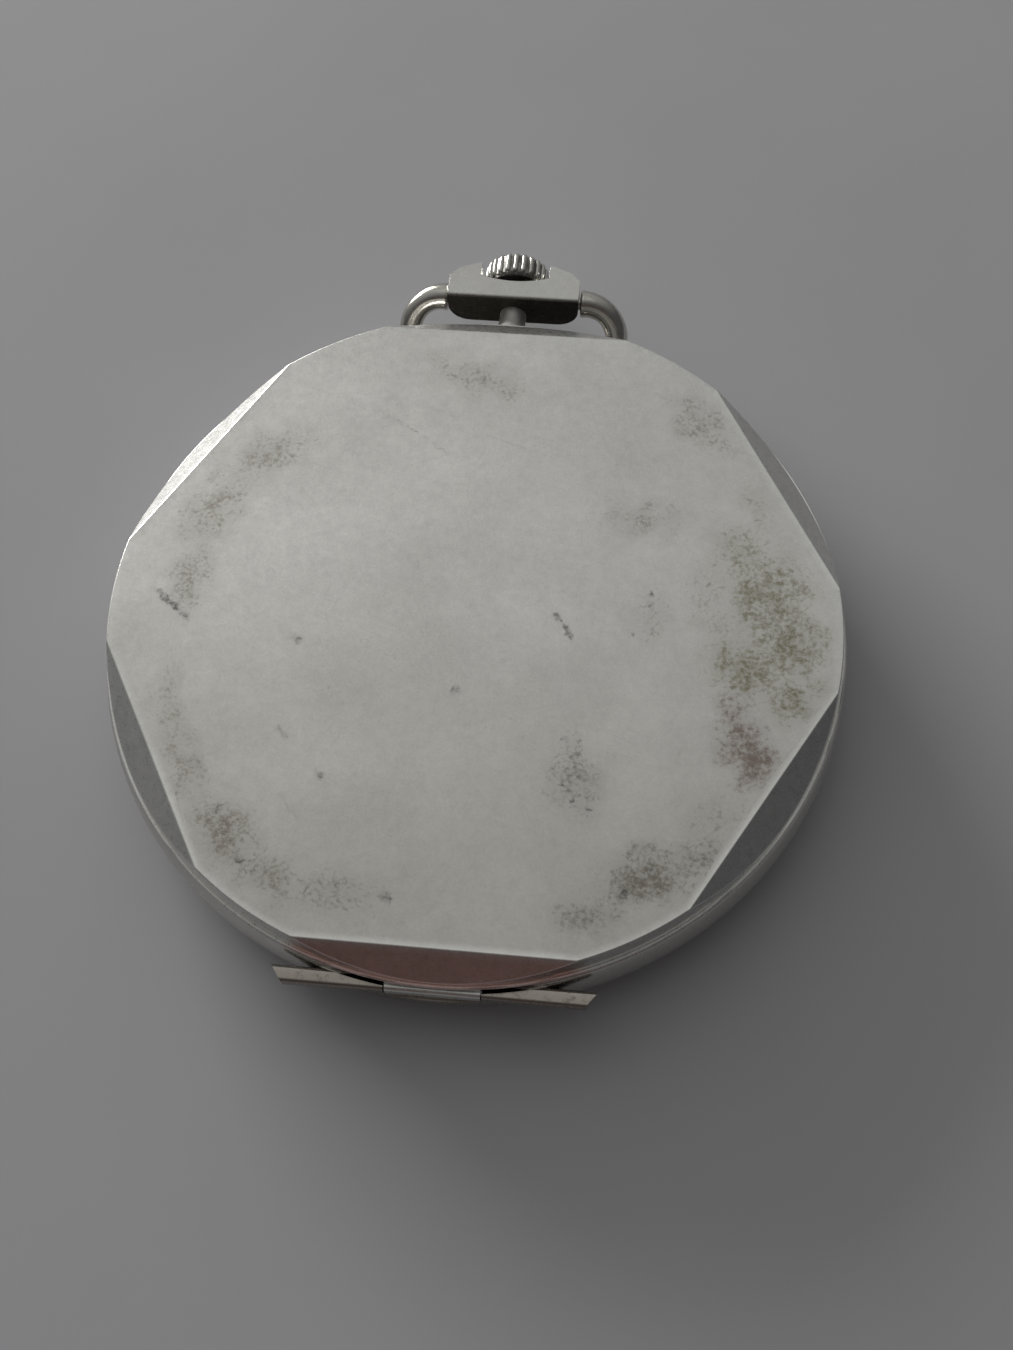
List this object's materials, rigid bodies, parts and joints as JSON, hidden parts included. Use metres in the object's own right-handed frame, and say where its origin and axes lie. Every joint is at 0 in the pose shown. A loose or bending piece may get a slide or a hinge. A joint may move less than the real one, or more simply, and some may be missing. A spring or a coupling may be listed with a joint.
{
  "type": "fob watch",
  "caption": "Open-faced fob watch lying on its crystal: round case, hinged back with a flat hexagonal table and bevels, wide pendant bar, fluted crown, folding bow and keyless lever movement.",
  "frame": {"origin": "centre of the crystal's outer flat face, which the watch lies on", "axes": "+Z out of the back cover, +Y towards the crown at 12 o'clock, -Z out of the dial, and 3 o'clock lies towards -X"},
  "size_m": [0.0474, 0.0534, 0.0076],
  "materials": {
    "case_silver": "worn satin silver, polished at the edges",
    "back_silver": "worn satin silver with fine scratches and brown tarnish",
    "bow_silver": "polished silver wire, tarnished",
    "crown_silver": "polished silver with dark flutes",
    "inner_cover_silver": "polished silver",
    "crystal_glass": "clear bevelled crystal",
    "inner_glass": "clear flat glass",
    "dial_enamel": "cream printed dial",
    "marker_metal": "darkened metal batons",
    "blued_steel": "heat-blued steel",
    "hairspring_steel": "fine blued spring",
    "nickel": "nickel with fine ribs",
    "brass": "gilt brass",
    "balance_brass": "polished gilt brass",
    "steel": "polished steel",
    "ruby": "polished ruby"
  },
  "bodies": {
    "case": {"mid_case": "case_silver", "case_screws": "blued_steel", "hinge_pin": "steel", "bezel": "case_silver", "crystal": "crystal_glass", "inner_cover": "inner_cover_silver", "inner_glass": "inner_glass", "pendant_neck": "case_silver", "pendant_bar": "case_silver", "dial": "dial_enamel", "dial_markers": "marker_metal", "main_plate": "nickel", "barrel_bridge": "nickel", "train_bridge": "nickel", "pallet_cock": "nickel", "balance_cock": "nickel", "bridge_screws": "blued_steel", "jewels": "ruby", "click_screw": "blued_steel", "crown_wheel_screw": "blued_steel", "stud": "steel"},
    "back": {"back_cover": "back_silver"},
    "bow": {"bow": "bow_silver"},
    "winder": {"winding_pinion": "steel"},
    "crown_stem": {"crown": "crown_silver", "winding_stem": "steel"},
    "clutch": {"sliding_pinion": "steel"},
    "setting_lever": {"setting_lever": "steel"},
    "yoke": {"yoke": "steel"},
    "crown_wheel": {"crown_wheel": "steel"},
    "ratchet": {"ratchet_wheel": "steel", "barrel_arbor": "steel", "ratchet_screw": "blued_steel"},
    "click": {"click": "steel"},
    "centre": {"centre_wheel": "brass", "cannon_pinion": "steel", "minute_hand": "blued_steel"},
    "barrel": {"barrel": "brass", "barrel_lid": "brass", "mainspring": "steel"},
    "third": {"third_wheel": "brass"},
    "fourth": {"fourth_wheel": "brass", "seconds_hand": "blued_steel"},
    "escape": {"escape_wheel": "brass"},
    "minute_wheel": {"minute_wheel": "brass"},
    "hour": {"hour_wheel": "brass", "hour_hand": "blued_steel"},
    "setting_wheel": {"setting_wheel": "brass"},
    "intermediate_wheel": {"intermediate_wheel": "brass"},
    "lever": {"pallet_fork": "steel"},
    "balance": {"balance_wheel": "balance_brass", "roller": "steel", "hairspring": "hairspring_steel"},
    "regulator": {"regulator": "steel"}
  },
  "joints": [
    {"name": "back_cover_hinge", "type": "hinge", "parent": "case", "child": "back", "pos_m": [0, -0.02305, 0.00495], "axis": [1, 0, 0], "range_deg": [0, 105]},
    {"name": "bow_swivel", "type": "hinge", "parent": "case", "child": "bow", "pos_m": [0, 0.0267, 0.00445], "axis": [1, 0, 0], "range_deg": [0, 266]},
    {"name": "crown_turn", "type": "hinge", "parent": "case", "child": "winder", "pos_m": [0, 0.0162, 0.0042], "axis": [0, 1, 0], "continuous": true},
    {"name": "crown_pull", "type": "slide", "parent": "winder", "child": "crown_stem", "axis": [0, 1, 0], "range_m": [0, 0.0009]},
    {"name": "clutch_slide", "type": "slide", "parent": "winder", "child": "clutch", "axis": [0, 1, 0], "range_m": [-0.0008, 0]},
    {"name": "setting_lever_swing", "type": "hinge", "parent": "case", "child": "setting_lever", "pos_m": [0.0033, 0.0182, 0.0028], "axis": [0, 0, 1], "range_deg": [-15.6, 0]},
    {"name": "yoke_swing", "type": "hinge", "parent": "case", "child": "yoke", "pos_m": [-0.0044, 0.0136, 0.0028], "axis": [0, 0, 1], "range_deg": [-10.5, 0]},
    {"name": "crown_wheel_turn", "type": "hinge", "parent": "case", "child": "crown_wheel", "pos_m": [0, 0.0123, 0.0062], "axis": [0, 0, 1], "continuous": true},
    {"name": "ratchet_turn", "type": "hinge", "parent": "case", "child": "ratchet", "pos_m": [0.00633, 0.0043, 0.0062], "axis": [0, 0, 1], "continuous": true},
    {"name": "click_lift", "type": "hinge", "parent": "case", "child": "click", "pos_m": [-0.00107, 0.0043, 0.0062], "axis": [0, 0, 1], "range_deg": [0, 12]},
    {"name": "centre_turn", "type": "hinge", "parent": "case", "child": "centre", "pos_m": [0, 0, 0.0055], "axis": [0, 0, 1], "continuous": true},
    {"name": "barrel_turn", "type": "hinge", "parent": "case", "child": "barrel", "pos_m": [0.00633, 0.0043, 0.0044], "axis": [0, 0, 1], "continuous": true},
    {"name": "third_turn", "type": "hinge", "parent": "case", "child": "third", "pos_m": [-0.00385, -0.00554, 0.005], "axis": [0, 0, 1], "continuous": true},
    {"name": "fourth_turn", "type": "hinge", "parent": "case", "child": "fourth", "pos_m": [0, -0.0095, 0.0052], "axis": [0, 0, 1], "continuous": true},
    {"name": "escape_turn", "type": "hinge", "parent": "case", "child": "escape", "pos_m": [0.00327, -0.01365, 0.005], "axis": [0, 0, 1], "continuous": true},
    {"name": "minute_wheel_turn", "type": "hinge", "parent": "case", "child": "minute_wheel", "pos_m": [-0.00123, 0.00338, 0.0027], "axis": [0, 0, 1], "continuous": true},
    {"name": "hour_turn", "type": "hinge", "parent": "case", "child": "hour", "pos_m": [0, 0, 0.0024], "axis": [0, 0, 1], "continuous": true},
    {"name": "setting_wheel_turn", "type": "hinge", "parent": "case", "child": "setting_wheel", "pos_m": [0, 0.00771, 0.0027], "axis": [0, 0, 1], "continuous": true},
    {"name": "intermediate_wheel_turn", "type": "hinge", "parent": "case", "child": "intermediate_wheel", "pos_m": [0, 0.01086, 0.0027], "axis": [0, 0, 1], "continuous": true},
    {"name": "lever_swing", "type": "hinge", "parent": "case", "child": "lever", "pos_m": [0.00592, -0.01142, 0.005], "axis": [0, 0, 1], "range_deg": [-5, 5]},
    {"name": "balance_swing", "type": "hinge", "parent": "case", "child": "balance", "pos_m": [0.00891, -0.00891, 0.0055], "axis": [0, 0, 1], "range_deg": [-270, 270]},
    {"name": "regulator_turn", "type": "hinge", "parent": "case", "child": "regulator", "pos_m": [0.00891, -0.00891, 0.00635], "axis": [0, 0, 1], "range_deg": [-12, 12]}
  ],
  "couplings": [
    {"joint": "clutch_slide", "follows": "crown_pull", "ratio": -0.88889},
    {"joint": "setting_lever_swing", "follows": "crown_pull", "rad_per_m": -301.17},
    {"joint": "yoke_swing", "follows": "crown_pull", "rad_per_m": -201.47},
    {"joint": "crown_wheel_turn", "follows": "crown_turn", "ratio": -0.42857},
    {"joint": "ratchet_turn", "follows": "crown_turn", "ratio": 0.3},
    {"joint": "barrel_turn", "follows": "centre_turn", "ratio": -0.125},
    {"joint": "third_turn", "follows": "centre_turn", "ratio": -8},
    {"joint": "fourth_turn", "follows": "centre_turn", "ratio": 60},
    {"joint": "escape_turn", "follows": "centre_turn", "ratio": -600},
    {"joint": "minute_wheel_turn", "follows": "centre_turn", "ratio": -0.33333},
    {"joint": "hour_turn", "follows": "centre_turn", "ratio": 0.083333},
    {"joint": "setting_wheel_turn", "follows": "centre_turn", "ratio": 0.5},
    {"joint": "intermediate_wheel_turn", "follows": "centre_turn", "ratio": -0.66667}
  ]
}
